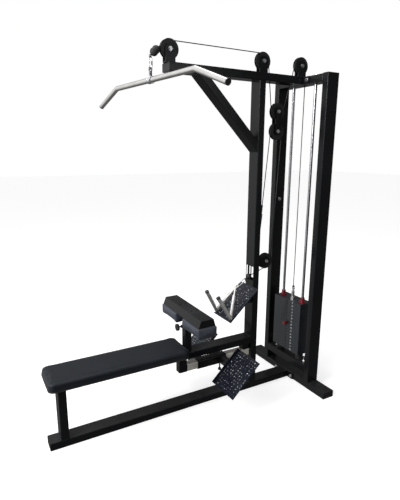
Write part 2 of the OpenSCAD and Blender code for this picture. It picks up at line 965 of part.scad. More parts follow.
// Inner post and the folded cross channel that the pads are bolted into
module thigh_frame()
  color("#1b1c1e") placed() {
    difference() {
      translate([thigh_x, 0, 440])
        box_tube(thigh_inner, thigh_inner, thigh_z - 2 - 440, 3, 3);
      for (i = [0 : 4])
        translate([thigh_x - 30, 0, thigh_pin_z - i * thigh_step])
          rotate([0, 90, 0])
            cylinder(h = 14, r = 5.3, $fn = 32);
    }
    translate([0, 265, 0])
      rotate([90, 0, 0])
        linear_extrude(530)
          difference() {
            polygon([[-572, 690], [-553, thigh_z], [-462, thigh_z], [-448, 690]]);
            polygon([[-569, 689], [-551, thigh_z - 4], [-464, thigh_z - 4], [-451, 689]]);
          }
    for (y = [-265, 261])
      translate([0, y + 4, 0])
        rotate([90, 0, 0])
          linear_extrude(4)
            polygon([[-571, 691], [-553, thigh_z - 1], [-462, thigh_z - 1], [-449, 691]]);
    for (x = [-525, -485], y = [-78, 78])
      translate([x, y, thigh_z - eps])
        cylinder(h = 4, r = 6, $fn = 6);
  }

// One length of pad beside the post, on side s
module pad_length(s, w, outline)
  translate([0, s > 0 ? thigh_pad_in + w : -thigh_pad_in, 0])
    rotate([90, 0, 0])
      linear_extrude(w)
        polygon(outline);

// Two pads: the upper part fills the folded channel between its end plates
module thigh_pads()
  color("#4a515c") placed()
    for (s = [-1, 1]) {
      pad_length(s, thigh_pad_w, [
        [-566, thigh_pad_z], [-584, thigh_pad_z + 18], [-584, 688],
        [-436, 688], [-436, thigh_pad_z + 18], [-454, thigh_pad_z]
      ]);
      pad_length(s, 260 - thigh_pad_in, [
        [-566, 680], [-568, 688], [-550, thigh_z - 6], [-465, thigh_z - 6], [-452, 688], [-454, 680]
      ]);
    }

// ---- Footplates ----

module foot_rail()
  color("#9b968a") placed()
    difference() {
      translate([rail_x0, 0, rail_z + rail_s / 2])
        rotate([0, 90, 0])
          box_tube(rail_s, rail_s, -rail_x0, 4, 6);
      for (i = [-3 : 3])
        translate([foot_pin_x + i * foot_step, 0, rail_z - 1])
          cylinder(h = 6, r = 5.3, $fn = 32);
    }

// Sleeve around the rail with the two stubs that carry the footplates
module foot_carriage()
  color("#1b1c1e") placed() {
    difference() {
      translate([carriage_x[0], 0, rail_z + rail_s / 2])
        rotate([0, 90, 0])
          box_tube(
            rail_s + 2 * (carriage_wall + carriage_gap), rail_s + 2 * (carriage_wall + carriage_gap),
            carriage_x[1] - carriage_x[0], carriage_wall, 9);
      translate([foot_pin_x, 0, rail_z - 8])
        cylinder(h = 10, r = 5.06, $fn = 32);
    }
    translate([foot_pin_x, 0, rail_z - 20])
      difference() {
        cylinder(h = 17, r = 11, $fn = 32);
        translate([0, 0, -1])
          cylinder(h = 20, r = 5.06, $fn = 32);
      }
    for (s = [-1, 1])
      translate([stub_x, s * (rail_s / 2 + 2), stub_z + 25])
        rotate([-90 * s, 0, 0])
          box_tube(50, 50, 240, 3, 4);
  }

module footplate()
  rotate([0, -44.5, 0]) {
    translate([0, 0, -foot_t])
      cube([foot_l, foot_w, foot_t]);
    translate([0, 0, -foot_t])
      cube([foot_l, foot_t, 24]);
  }

// Pull pin under the sleeve, drawn back just clear of the rail
module foot_pop_pin()
  color("#2b2c2e") placed()
    translate([foot_pin_x, 0, rail_z - pin_gap])
      rotate([180, 0, 0]) {
        cylinder(h = 60, r = 5, $fn = 32);
        translate([0, 0, 64.5])
          sphere(r = 12.5, $fn = 48);
      }

module footplates()
  color("#15171b") placed()
    for (s = [0, 1])
      mirror([0, s, 0])
        translate([foot_low[0], foot_in, foot_low[1]])
          footplate();

base_beam();
rear_foot();
seat_post();
seat_beam();
main_upright();
top_beam();
diagonal_brace();
near_stack_upright();
far_stack_upright();
top_crossbeam();
lower_crossbeam();
joint_flanges();
frame_bolts();
tube_end_caps();
pulley_brackets();
pulley_axles();
front_pulley();
middle_pulley();
rear_pulley();
row_pulley();
float_upper_pulley();
float_lower_pulley();
float_side_plates();
float_axles();
guide_rods();
stack_bumpers();
lower_weight_plates();
upper_weight_plates();
head_plate();
guide_bushings();
selector_stem();
selector_pin();
pin_lanyard();
lat_cable_run();
float_lat_strands();
row_pulley_strand();
row_anchor_strand();
row_cable_anchor();
stack_cable();
bar_cable();
row_lead_cable();
bar_stop_ball();
bar_carabiner();
bar_swivel_eye();
lat_bar();
bar_end_caps();
row_stop_ball();
row_carabiner();
row_handle();
handle_tray();
seat_pad();
seat_board();
thigh_outer_post();
thigh_frame();
thigh_pads();
thigh_pop_pin();
foot_rail();
foot_carriage();
footplates();
foot_pop_pin();
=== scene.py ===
# Looks of the lat pulldown machine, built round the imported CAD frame.
# Lengths are in metres. X = 0 lies under the middle of the machine, the seat is towards -X.
import math
import random

import bpy
from mathutils import Matrix, Vector


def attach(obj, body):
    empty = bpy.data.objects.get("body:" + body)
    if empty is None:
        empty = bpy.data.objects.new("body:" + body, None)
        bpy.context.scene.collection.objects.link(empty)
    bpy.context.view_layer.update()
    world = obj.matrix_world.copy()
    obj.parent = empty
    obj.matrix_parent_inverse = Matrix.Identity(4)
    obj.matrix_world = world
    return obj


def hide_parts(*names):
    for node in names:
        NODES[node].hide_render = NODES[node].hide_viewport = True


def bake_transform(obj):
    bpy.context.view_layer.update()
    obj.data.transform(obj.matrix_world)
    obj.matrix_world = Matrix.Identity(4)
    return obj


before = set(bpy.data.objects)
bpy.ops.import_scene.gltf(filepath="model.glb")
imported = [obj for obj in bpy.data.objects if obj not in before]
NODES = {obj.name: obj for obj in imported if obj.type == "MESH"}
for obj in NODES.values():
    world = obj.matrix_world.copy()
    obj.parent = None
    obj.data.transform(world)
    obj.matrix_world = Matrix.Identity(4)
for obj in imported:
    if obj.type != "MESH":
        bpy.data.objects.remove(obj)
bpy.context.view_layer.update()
OX = 0.491          # the main upright's front face, in the row frame
random.seed(7)


def at(x, y, z):
    """Millimetres from the main upright's front face to a point in the row frame."""
    return Vector((x / 1000 + OX, y / 1000, z / 1000))


# ---------------------------------------------------------------- materials

def new_material(name):
    mat = bpy.data.materials.new(name)
    mat.use_nodes = True
    tree = mat.node_tree
    shader = tree.nodes["Principled BSDF"]
    coords = tree.nodes.new("ShaderNodeTexCoord")
    return mat, tree, shader, coords.outputs["Object"]


def noise(tree, vec, scale, detail=3.0, rough=0.5, stretch=None):
    if stretch:
        mapping = tree.nodes.new("ShaderNodeMapping")
        mapping.inputs["Scale"].default_value = stretch
        tree.links.new(vec, mapping.inputs["Vector"])
        vec = mapping.outputs["Vector"]
    node = tree.nodes.new("ShaderNodeTexNoise")
    node.inputs["Scale"].default_value = scale
    node.inputs["Detail"].default_value = detail
    node.inputs["Roughness"].default_value = rough
    tree.links.new(vec, node.inputs["Vector"])
    return node.outputs["Fac"]


def voronoi(tree, vec, scale, feature="F1"):
    node = tree.nodes.new("ShaderNodeTexVoronoi")
    node.feature = feature
    node.inputs["Scale"].default_value = scale
    tree.links.new(vec, node.inputs["Vector"])
    return node.outputs["Distance"]


def remap(tree, value, lo, hi, out_lo=0.0, out_hi=1.0, smooth=False):
    node = tree.nodes.new("ShaderNodeMapRange")
    if smooth:
        node.interpolation_type = "SMOOTHSTEP"
    for key, num in (("From Min", lo), ("From Max", hi), ("To Min", out_lo), ("To Max", out_hi)):
        node.inputs[key].default_value = num
    tree.links.new(value, node.inputs["Value"])
    return node.outputs["Result"]


def blend_colour(tree, fac, a, b):
    node = tree.nodes.new("ShaderNodeMix")
    node.data_type = "RGBA"
    tree.links.new(fac, node.inputs["Factor"])
    for socket, col in ((node.inputs[6], a), (node.inputs[7], b)):
        if isinstance(col, tuple):
            socket.default_value = (*col, 1.0)
        else:
            tree.links.new(col, socket)
    return node.outputs[2]


def calc(tree, op, a, b):
    node = tree.nodes.new("ShaderNodeMath")
    node.operation = op
    for i, v in enumerate((a, b)):
        if isinstance(v, (int, float)):
            node.inputs[i].default_value = v
        else:
            tree.links.new(v, node.inputs[i])
    return node.outputs[0]


def add_bump(tree, shader, layers):
    """layers: (height socket, distance in metres, strength)."""
    last = None
    for height, dist, strength in layers:
        node = tree.nodes.new("ShaderNodeBump")
        node.inputs["Distance"].default_value = dist
        node.inputs["Strength"].default_value = strength
        tree.links.new(height, node.inputs["Height"])
        if last:
            tree.links.new(last, node.inputs["Normal"])
        last = node.outputs["Normal"]
    tree.links.new(last, shader.inputs["Normal"])


def surface(name, dark, light, rough, metallic=0.0, patch=6.0, grain=900.0, depth=0.00004,
            stretch=None, coat=0.0, coat_rough=0.08, specular=0.5, span=(0.3, 0.7)):
    """Finish with uneven colour and gloss over patches, and a fine surface grain.

    span is the part of the patch noise over which dark turns into light.
    """
    mat, tree, shader, vec = new_material(name)
    cloud = noise(tree, vec, patch, 4.0, 0.6)
    fine = noise(tree, vec, grain, 2.0, 0.55, stretch)
    mix = remap(tree, cloud, *span)
    tree.links.new(blend_colour(tree, mix, dark, light), shader.inputs["Base Color"])
    gloss = calc(tree, "ADD", remap(tree, cloud, 0.25, 0.75, rough[0], rough[1]),
                 remap(tree, fine, 0.3, 0.7, -0.03, 0.03))
    tree.links.new(gloss, shader.inputs["Roughness"])
    add_bump(tree, shader, [(fine, depth, 0.6)])
    shader.inputs["Metallic"].default_value = metallic
    shader.inputs["Coat Weight"].default_value = coat
    shader.inputs["Coat Roughness"].default_value = coat_rough
    shader.inputs["Specular IOR Level"].default_value = specular
    return mat


def powder_coat(name, dark, light, rough):
    """Gloss powder coat: orange peel, faint haze, and painted light: faces that look up are painted lighter
    grey, in patches.
    """
    mat, tree, shader, vec = new_material(name)
    haze = noise(tree, vec, 3.2, 5.0, 0.6)
    peel = noise(tree, vec, 420.0, 2.0, 0.4)
    ripple = noise(tree, vec, 95.0, 2.0, 0.5)
    specks = voronoi(tree, vec, 260.0)
    base = blend_colour(tree, remap(tree, haze, 0.3, 0.7), dark, light)
    geo = tree.nodes.new("ShaderNodeNewGeometry")
    split = tree.nodes.new("ShaderNodeSeparateXYZ")
    tree.links.new(geo.outputs["Normal"], split.inputs[0])
    # painted light: faces that look up are mixed towards light grey, more in some patches, to stand in for
    # light from above
    up = remap(tree, split.outputs["Z"], 0.75, 1.0, 0.0, 0.16)
    top_light_paint = calc(tree, "MULTIPLY", up, remap(tree, haze, 0.35, 0.65, 0.3, 1.0))
    tree.links.new(blend_colour(tree, top_light_paint, base, (0.1, 0.1, 0.105)), shader.inputs["Base Color"])
    gloss = calc(tree, "ADD", remap(tree, haze, 0.3, 0.7, rough[0], rough[1]),
                 remap(tree, specks, 0.0, 0.25, 0.05, 0.0))
    tree.links.new(gloss, shader.inputs["Roughness"])
    add_bump(tree, shader, [(ripple, 0.00025, 0.25), (peel, 0.00005, 0.5)])
    shader.inputs["Specular IOR Level"].default_value = 0.22
    return mat


def vinyl(name, dark, light, rough, grain=420.0):
    """Upholstery vinyl: pebbled leather grain with painted shade in the grain's valleys, fine creases and a
    soft sheen.
    """
    mat, tree, shader, vec = new_material(name)
    wear = noise(tree, vec, 5.0, 5.0, 0.6)
    cells = voronoi(tree, vec, grain)
    edges = voronoi(tree, vec, grain * 0.55, "DISTANCE_TO_EDGE")
    pores = noise(tree, vec, grain * 2.4, 2.0, 0.5)
    creases = noise(tree, vec, 22.0, 6.0, 0.7)
    base = blend_colour(tree, remap(tree, wear, 0.3, 0.7), dark, light)
    # painted shade: the grain's valleys are darkened in the base colour
    valley_shade = remap(tree, edges, 0.0, 0.12, 0.55, 0.0, True)
    tree.links.new(blend_colour(tree, valley_shade, base, tuple(c * 0.55 for c in dark)),
                   shader.inputs["Base Color"])
    tree.links.new(calc(tree, "ADD", remap(tree, wear, 0.3, 0.7, rough[0], rough[1]),
                        remap(tree, cells, 0.0, 0.6, -0.05, 0.06)), shader.inputs["Roughness"])
    add_bump(tree, shader, [(creases, 0.0012, 0.25), (remap(tree, edges, 0.0, 0.2), 0.00025, 0.6),
                            (pores, 0.00006, 0.4)])
    shader.inputs["Sheen Weight"].default_value = 0.04
    shader.inputs["Sheen Roughness"].default_value = 0.4
    shader.inputs["Specular IOR Level"].default_value = 0.28
    return mat


def two_tone(name, axis, edge, first, second):
    """One moulded piece in two finishes, split at a plane: axis . position > edge is second.

    Each finish is (dark, light, roughness, metallic).
    """
    mat, tree, shader, vec = new_material(name)
    dot = tree.nodes.new("ShaderNodeVectorMath")
    dot.operation = "DOT_PRODUCT"
    dot.inputs[1].default_value = axis
    tree.links.new(vec, dot.inputs[0])
    mask = calc(tree, "GREATER_THAN", dot.outputs["Value"], edge)
    cloud = noise(tree, vec, 30.0, 4.0, 0.6)
    fine = noise(tree, vec, 700.0, 2.0, 0.5)
    fac = remap(tree, cloud, 0.3, 0.7)
    cols = [blend_colour(tree, fac, f[0], f[1]) for f in (first, second)]
    tree.links.new(blend_colour(tree, mask, cols[0], cols[1]), shader.inputs["Base Color"])
    rough = remap(tree, mask, 0.0, 1.0, first[2], second[2])
    tree.links.new(calc(tree, "ADD", rough, remap(tree, fine, 0.3, 0.7, -0.04, 0.04)),
                   shader.inputs["Roughness"])
    tree.links.new(remap(tree, mask, 0.0, 1.0, first[3], second[3]), shader.inputs["Metallic"])
    add_bump(tree, shader, [(fine, 0.00004, 0.4)])
    return mat


def rope(name):
    """Black nylon sheath over twisted wire: the strands show as a soft diagonal rib."""
    mat, tree, shader, vec = new_material(name)
    wave = tree.nodes.new("ShaderNodeTexWave")
    wave.bands_direction = "DIAGONAL"
    wave.inputs["Scale"].default_value = 90.0
    wave.inputs["Distortion"].default_value = 0.4
    tree.links.new(vec, wave.inputs["Vector"])
    rib = wave.outputs["Fac"]
    scuff = noise(tree, vec, 60.0, 4.0, 0.6)
    col = blend_colour(tree, remap(tree, scuff, 0.35, 0.65), (0.012, 0.012, 0.013), (0.035, 0.035, 0.038))
    tree.links.new(col, shader.inputs["Base Color"])
    tree.links.new(remap(tree, rib, 0.0, 1.0, 0.42, 0.3), shader.inputs["Roughness"])
    add_bump(tree, shader, [(rib, 0.0004, 0.5), (scuff, 0.0001, 0.3)])
    return mat


# (dark, light, roughness, metallic) of the finishes that share a piece
KNURL = ((0.66, 0.65, 0.63), (0.84, 0.83, 0.81), 0.36, 0.9)
STEEL = ((0.48, 0.48, 0.49), (0.76, 0.76, 0.77), 0.28, 1.0)
BLACK = ((0.011, 0.011, 0.012), (0.026, 0.026, 0.028), 0.5, 0.0)
RED = ((0.12, 0.006, 0.012), (0.22, 0.01, 0.022), 0.32, 0.0)

MAT = {
    "frame": powder_coat("frame_paint", (0.0042, 0.0045, 0.005), (0.0075, 0.008, 0.0088), (0.18, 0.32)),
    "tread": powder_coat("tread_paint", (0.005, 0.006, 0.0095), (0.009, 0.011, 0.018), (0.14, 0.28)),
    "steel": surface("bolt_steel", (0.48, 0.48, 0.49), (0.78, 0.78, 0.79), (0.2, 0.38), 1.0, 60.0,
                     1500.0, 0.00003),
    "dark_steel": surface("dark_steel", (0.05, 0.05, 0.055), (0.11, 0.11, 0.12), (0.3, 0.5), 0.8, 40.0,
                          900.0, 0.00005),
    "chrome": surface("chrome", (0.62, 0.61, 0.59), (0.78, 0.77, 0.75), (0.13, 0.24), 1.0, 9.0, 700.0,
                      0.000012, (1.0, 0.12, 1.0)),
    "rod": surface("rod_chrome", (0.34, 0.34, 0.35), (0.48, 0.48, 0.5), (0.2, 0.34), 1.0, 7.0, 900.0,
                   0.00002, (1.0, 1.0, 0.02)),
    "zinc": surface("zinc_steel", (0.55, 0.52, 0.46), (0.82, 0.79, 0.71), (0.35, 0.5), 0.35, 22.0, 600.0,
                    0.00005, (0.06, 1.0, 1.0)),
    "nylon": surface("black_nylon", (0.006, 0.006, 0.007), (0.014, 0.014, 0.015), (0.36, 0.5), 0.0, 25.0,
                     800.0, 0.00006, specular=0.3),
    "rubber": surface("black_rubber", (0.012, 0.012, 0.012), (0.03, 0.03, 0.031), (0.55, 0.75), 0.0, 40.0,
                      500.0, 0.0002, specular=0.3),
    "plate": surface("plate_paint", (0.009, 0.012, 0.016), (0.016, 0.0205, 0.026), (0.34, 0.5), 0.0, 14.0,
                     260.0, 0.0003, coat=0.1, coat_rough=0.3),
    "red": surface("red_plastic", (0.12, 0.006, 0.012), (0.22, 0.01, 0.022), (0.22, 0.36), 0.0, 45.0,
                   700.0, 0.00005, coat=0.3),
    "board": surface("board_wood", (0.012, 0.011, 0.01), (0.03, 0.028, 0.026), (0.5, 0.7), 0.0, 18.0,
                     160.0, 0.0003, (0.15, 1.0, 4.0)),
    "seat": vinyl("seat_vinyl", (0.003, 0.0046, 0.0078), (0.0056, 0.0082, 0.0132), (0.38, 0.52)),
    "pad": vinyl("pad_vinyl", (0.03, 0.034, 0.047), (0.052, 0.058, 0.076), (0.36, 0.5)),
    "cable": rope("cable_sheath"),
    "stem": two_tone("stem_and_ball", (0, 0, 1), 0.7385, STEEL, BLACK),
    "pin": two_tone("pin_and_knob", (1, 0, 0), 0.8645, RED, STEEL),
    "handle": two_tone("handle_and_caps", (-0.5003, 0, 0.8658), 0.5922, KNURL, BLACK),
    # painted glints: random tread bars are painted light grey to stand in for highlights on the dark plate
    "bars": surface("tread_bars", (0.006, 0.008, 0.016), (0.62, 0.63, 0.66), (0.14, 0.3), 0.4, 55.0,
                    900.0, 0.00003, specular=0.3, span=(0.5, 0.66)),
    "ink": surface("number_ink", (0.55, 0.56, 0.57), (0.75, 0.76, 0.77), (0.5, 0.6), 0.0, 80.0, 900.0,
                   0.00002),
}

FINISH = {
    "frame": ["base_beam", "rear_foot", "seat_post", "seat_beam", "main_upright", "top_beam",
              "diagonal_brace", "near_stack_upright", "far_stack_upright", "top_crossbeam",
              "lower_crossbeam", "joint_flanges", "pulley_brackets", "float_side_plates",
              "thigh_outer_post", "thigh_frame", "foot_carriage"],
    "tread": ["handle_tray", "footplates"],
    "steel": ["frame_bolts", "pulley_axles", "float_axles", "bar_carabiner", "row_carabiner"],
    "dark_steel": ["row_cable_anchor", "bar_swivel_eye"],
    "rod": ["guide_rods"],
    "zinc": ["foot_rail"],
    "nylon": ["tube_end_caps", "bar_end_caps", "front_pulley", "middle_pulley", "rear_pulley",
              "row_pulley", "float_upper_pulley", "float_lower_pulley", "thigh_pop_pin", "foot_pop_pin"],
    "rubber": ["stack_bumpers", "bar_stop_ball", "row_stop_ball"],
    "plate": ["lower_weight_plates", "upper_weight_plates", "head_plate"],
    "red": ["guide_bushings"],
    "board": ["seat_board"],
    "chrome": ["lat_bar"],
    "stem": ["selector_stem"],
    "pin": ["selector_pin"],
    "handle": ["row_handle"],
    "seat": ["seat_pad"],
    "pad": ["thigh_pads"],
    "cable": ["lat_cable_run", "float_lat_strands", "row_pulley_strand", "row_anchor_strand",
              "stack_cable", "bar_cable", "row_lead_cable", "pin_lanyard"],
}


def dress(obj, mat):
    obj.data.materials.clear()
    obj.data.materials.append(mat)


for key, names in FINISH.items():
    for name in names:
        dress(NODES[name], MAT[key])

# ---------------------------------------------------------------- camera, light and floor

cam_data = bpy.data.cameras.new("camera")
cam = bpy.data.objects.new("camera", cam_data)
bpy.context.collection.objects.link(cam)
cam_data.sensor_fit = "HORIZONTAL"
cam_data.sensor_width = 36.0
cam_data.lens = 38.14
cam.location = at(-1775, -2424, 1773)
cam.rotation_euler = (math.radians(90 - 13.07), -0.0044, -0.5099)
bpy.context.scene.camera = cam
bpy.context.scene.view_settings.view_transform = "Standard"


def area_light(name, place, target, size, power, colour=(1, 1, 1)):
    data = bpy.data.lights.new(name, "AREA")
    data.shape = "RECTANGLE"
    data.size, data.size_y = size
    data.energy = power
    data.color = colour
    obj = bpy.data.objects.new(name, data)
    bpy.context.collection.objects.link(obj)
    obj.location = place
    obj.rotation_euler = (Vector(target) - Vector(place)).to_track_quat("-Z", "Y").to_euler()
    return obj


area_light("key", (-4.3, -0.8, 3.3), (0.0, 0.0, 1.0), (2.0, 2.0), 250.0, (1.0, 0.995, 0.98))
area_light("top", (-0.4, 0.2, 5.2), (0.0, 0.0, 0.8), (3.0, 2.0), 60.0)
area_light("fill", (1.4, -4.4, 2.0), (0.2, 0.0, 1.0), (2.0, 2.4), 34.0, (0.96, 0.98, 1.0))

# Studio: bright on the seat's side and overhead, dim towards the camera; the backdrop is white
world = bpy.data.worlds.new("studio")
bpy.context.scene.world = world
world.use_nodes = True
tree = world.node_tree
sky = tree.nodes["Background"]
sky.inputs["Strength"].default_value = 1.0
direction = tree.nodes.new("ShaderNodeTexCoord").outputs["Generated"]
lobe = tree.nodes.new("ShaderNodeVectorMath")
lobe.operation = "DOT_PRODUCT"
lobe.inputs[1].default_value = (-0.78, 0.28, 0.56)
tree.links.new(direction, lobe.inputs[0])
glow = remap(tree, lobe.outputs["Value"], 0.05, 0.95, 0.13, 1.1, True)
behind = tree.nodes.new("ShaderNodeLightPath").outputs["Is Camera Ray"]
level = tree.nodes.new("ShaderNodeMix")
level.inputs[3].default_value = 1.0
tree.links.new(behind, level.inputs[0])
tree.links.new(glow, level.inputs[2])
tree.links.new(level.outputs[0], sky.inputs["Color"])

floor_mesh = bpy.data.meshes.new("floor")
floor_mesh.from_pydata([(-30, -30, -0.001), (30, -30, -0.001), (30, 30, -0.001), (-30, 30, -0.001)], [],
                       [(0, 1, 2, 3)])
floor = bpy.data.objects.new("floor", floor_mesh)
bpy.context.collection.objects.link(floor)
mat, tree, shader, vec = new_material("floor")
shader.inputs["Base Color"].default_value = (0.6, 0.6, 0.6, 1.0)
shader.inputs["Roughness"].default_value = 0.9
shader.inputs["Specular IOR Level"].default_value = 0.1
shader.inputs["Emission Color"].default_value = (1.0, 1.0, 1.0, 1.0)
shader.inputs["Emission Strength"].default_value = 0.62
floor_mesh.materials.append(mat)
floor.visible_diffuse = False
floor.visible_glossy = False

# ---------------------------------------------------------------- building helpers

def make_object(name, verts, faces, mat):
    mesh = bpy.data.meshes.new(name)
    mesh.from_pydata([tuple(v) for v in verts], [], faces)
    mesh.validate()
    mesh.update()
    mesh.shade_smooth()
    obj = bpy.data.objects.new(name, mesh)
    bpy.context.collection.objects.link(obj)
    mesh.materials.append(mat)
    return obj


def loft(rings, base=0):
    """Faces that join rings of equal size, and their end caps; base is the first vertex's number."""
    n = len(rings[0])
    verts = [v for ring in rings for v in ring]
    faces = []
    for i in range(len(rings) - 1):
        for k in range(n):
            a, b = i * n + k, i * n + (k + 1) % n
            faces.append(tuple(base + v for v in (a, b, b + n, a + n)))
    faces.append(tuple(base + k for k in reversed(range(n))))
    last = (len(rings) - 1) * n
    faces.append(tuple(base + last + k for k in range(n)))
    return verts, faces


def tube_rings(points, radius, n):
    """Round rings along a path; radius is a number or one number per point."""
    rings = []
    side = None
    for i, p in enumerate(points):
        ahead = points[min(i + 1, len(points) - 1)] - points[max(i - 1, 0)]
        ahead.normalize()
        if side is None:
            side = ahead.orthogonal().normalized()
        side = (side - ahead * side.dot(ahead)).normalized()
        up = ahead.cross(side)
        r = radius[i] if isinstance(radius, (list, tuple)) else radius
        rings.append([p + r * (math.cos(t) * side + math.sin(t) * up)
                      for t in (2 * math.pi * k / n for k in range(n))])
    return rings


def tube(name, points, radius, mat, n=16):
    verts, faces = loft(tube_rings(points, radius, n))
    return make_object(name, verts, faces, mat)


def lathe(name, profile, place, axis, mat, n=48):
    """Turned piece: profile holds (radius, distance along axis) in millimetres, closed on the axis."""
    swing = Vector(axis).to_track_quat("Z", "Y").to_matrix()
    rings = [[place + swing @ Vector((r * math.cos(t), r * math.sin(t), h)) / 1000
              for t in (2 * math.pi * k / n for k in range(n))] for r, h in profile]
    verts, faces = loft(rings)
    obj = make_object(name, verts, faces, mat)
    obj.data.set_sharp_from_angle(angle=math.radians(35))
    return obj


def join(name, objs):
    """Merge pieces of one material into one object."""
    verts, faces = [], []
    for obj in objs:
        base = len(verts)
        verts += [v.co.copy() for v in obj.data.vertices]
        faces += [tuple(base + i for i in p.vertices) for p in obj.data.polygons]
    mat = objs[0].data.materials[0]
    for obj in objs:
        bpy.data.objects.remove(obj, do_unlink=True)
    merged = make_object(name, verts, faces, mat)
    merged.data.set_sharp_from_angle(angle=math.radians(40))
    return merged


# ---------------------------------------------------------------- cables

GROOVE = 50.0
CABLE_R = 0.003
FRONT, MIDDLE, REAR = (-630, 2355), (50, 2355), (380, 2355)
ROW, FLOAT_UP, FLOAT_LOW = (135, 988), (190, 2044), (190, 1913)
ANCHOR, EXIT = (90, 1374), (12, 893)
BALL = (-8, 886)
STACK_X = REAR[0] + GROOVE      # the stack's cable and stem
ROW_DIR = Vector((-0.848, 0, -0.53))


def touch_angle(a, b, k, side):
    """Angle of the groove point where a cable towards b leaves pulley a."""
    dx, dz = b[0] - a[0], b[1] - a[1]
    return math.atan2(dz, dx) + side * math.acos(k / math.hypot(dx, dz))


def on_groove(a, ang):
    return at(a[0] + GROOVE * math.cos(ang), 0, a[1] + GROOVE * math.sin(ang))


def turn_points(a, a0, a1):
    n = max(4, int(abs(a1 - a0) / math.radians(5)))
    return [on_groove(a, a0 + (a1 - a0) * i / n) for i in range(n + 1)]


MID_ANG = touch_angle(MIDDLE, FLOAT_UP, 2 * GROOVE, 1)
REAR_ANG = touch_angle(REAR, FLOAT_UP, 2 * GROOVE, -1)
ROW_ANG = touch_angle(FLOAT_LOW, ROW, 0, 1)
ANCHOR_ANG = touch_angle(FLOAT_LOW, ANCHOR, GROOVE, -1)
EXIT_ANG = touch_angle(ROW, EXIT, GROOVE, 1)
QUARTER = math.pi / 2


def strand(name, p, q, node):
    """Straight stretch of cable from p to q, in place of the node's strand."""
    obj = tube(name, [p, q], CABLE_R, MAT["cable"])
    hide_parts(node)
    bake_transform(obj)
    return obj


def turn(name, points, body, node):
    """Stretch of cable that lies in a groove."""
    obj = tube(name, points, CABLE_R, MAT["cable"])
    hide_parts(node)
    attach(obj, body)
    return obj


turn("cable_top_run", turn_points(FRONT, 1.5 * QUARTER, QUARTER) + turn_points(MIDDLE, QUARTER, MID_ANG),
     "frame", "lat_cable_run")
turn("cable_rear_turn", turn_points(REAR, 0.0, REAR_ANG), "frame", "lat_cable_run")
strand("cable_float_front", on_groove(MIDDLE, MID_ANG), on_groove(FLOAT_UP, MID_ANG + math.pi),
       "float_lat_strands")
strand("cable_float_rear", on_groove(REAR, REAR_ANG), on_groove(FLOAT_UP, REAR_ANG + math.pi),
       "float_lat_strands")
turn("cable_float_turn", turn_points(FLOAT_UP, MID_ANG + math.pi, REAR_ANG + math.pi), "float_block",
     "float_lat_strands")
strand("cable_row_strand", on_groove(ROW, ROW_ANG), on_groove(FLOAT_LOW, ROW_ANG),
       "row_pulley_strand")
strand("cable_anchor_strand", at(ANCHOR[0], 0, ANCHOR[1]), on_groove(FLOAT_LOW, ANCHOR_ANG),
       "row_anchor_strand")
turn("cable_anchor_turn", turn_points(FLOAT_LOW, ROW_ANG, ANCHOR_ANG + 2 * math.pi
                                      if ANCHOR_ANG < ROW_ANG else ANCHOR_ANG), "float_block",
     "row_anchor_strand")
strand("cable_stack", at(STACK_X, 0, REAR[1]), at(STACK_X, 0, 750), "stack_cable")
BAR_TAN = at(FRONT[0] - GROOVE * math.sqrt(0.5), 0, FRONT[1] + GROOVE * math.sqrt(0.5))
BAR_BALL = BAR_TAN + Vector((-0.0534, 0, -0.0534))
BAR_RING = BAR_TAN + Vector((-0.084, 0, -0.084))
strand("cable_bar", BAR_TAN, BAR_BALL + Vector((0.0236, 0, 0.0236)), "bar_cable")
strand("cable_row_lead", on_groove(ROW, EXIT_ANG), at(EXIT[0], 0, EXIT[1]),
       "row_lead_cable")
turn("cable_row_turn", turn_points(ROW, EXIT_ANG, ROW_ANG), "frame", "row_lead_cable")

# Swaged sleeves and the threaded coupling on the stack's stem
thread = [(0.2, 696), (6.4, 696)]
thread += [(6.4 + 0.9 * (i % 2), 697 + 1.1 * i) for i in range(34)] + [(6.4, 735.5), (0.2, 735.5)]
coupling = lathe("stem_coupling", [(r + 0.8 if r > 1 else r, h) for r, h in thread], at(STACK_X, 0, 0),
                 (0, 0, 1), MAT["steel"], 24)
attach(coupling, "stack_carriage")
nuts = []
for z in (700, 722):
    section = [(0.2, z), (10.5, z), (12.4, z + 1.2), (12.4, z + 7.8), (10.5, z + 9), (0.2, z + 9)]
    nuts.append(lathe("nut", section, at(STACK_X, 0, 0), (0, 0, 1), MAT["steel"], 6))
jam = join("stem_nuts", nuts)
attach(jam, "stack_carriage")
sleeve = lathe("anchor_sleeve", [(0.2, -34), (5.2, -34), (5.6, -32), (5.6, 26), (4.6, 30), (0.2, 30)],
               at(ANCHOR[0], 0, ANCHOR[1]),
               on_groove(FLOAT_LOW, ANCHOR_ANG) - at(ANCHOR[0], 0, ANCHOR[1]), MAT["dark_steel"], 24)
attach(sleeve, "frame")

# Cord from the head plate to the selector's knob
LANYARD = [(374.5, 2, 634), (371, 2.2, 634), (368.5, 4, 631), (367.5, 7, 624), (367, 12, 605),
           (366, 19, 575), (365, 27, 540), (364, 34, 505), (363, 39.5, 475), (361.5, 41, 461),
           (360, 38, 452), (359, 31, 448.6), (358.5, 23, 448.5), (358, 14.4, 448.5)]


def smooth_path(points, steps=4):
    """Catmull-Rom curve through the points."""
    pts = [points[0]] + points + [points[-1]]
    out = []
    for i in range(1, len(pts) - 2):
        p0, p1, p2, p3 = pts[i - 1:i + 3]
        for k in range(steps):
            t = k / steps
            out.append(0.5 * ((2 * p1) + (p2 - p0) * t + (2 * p0 - 5 * p1 + 4 * p2 - p3) * t * t
                              + (3 * p1 - p0 - 3 * p2 + p3) * t ** 3))
    return out + [points[-1]]


route = smooth_path([at(*p) for p in LANYARD])
lanyard = tube("selector_lanyard", route, 0.0015, MAT["cable"], 10)
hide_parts("pin_lanyard")
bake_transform(lanyard)

# ---------------------------------------------------------------- lat bar

BAR_X, BAR_Z, YAW = (BAR_RING.x - OX) * 1000, 2176, math.radians(7)
DROOP, BEND_R, BAR_MID, BAR_END = math.radians(20), 60.0, 445.0, 270.0


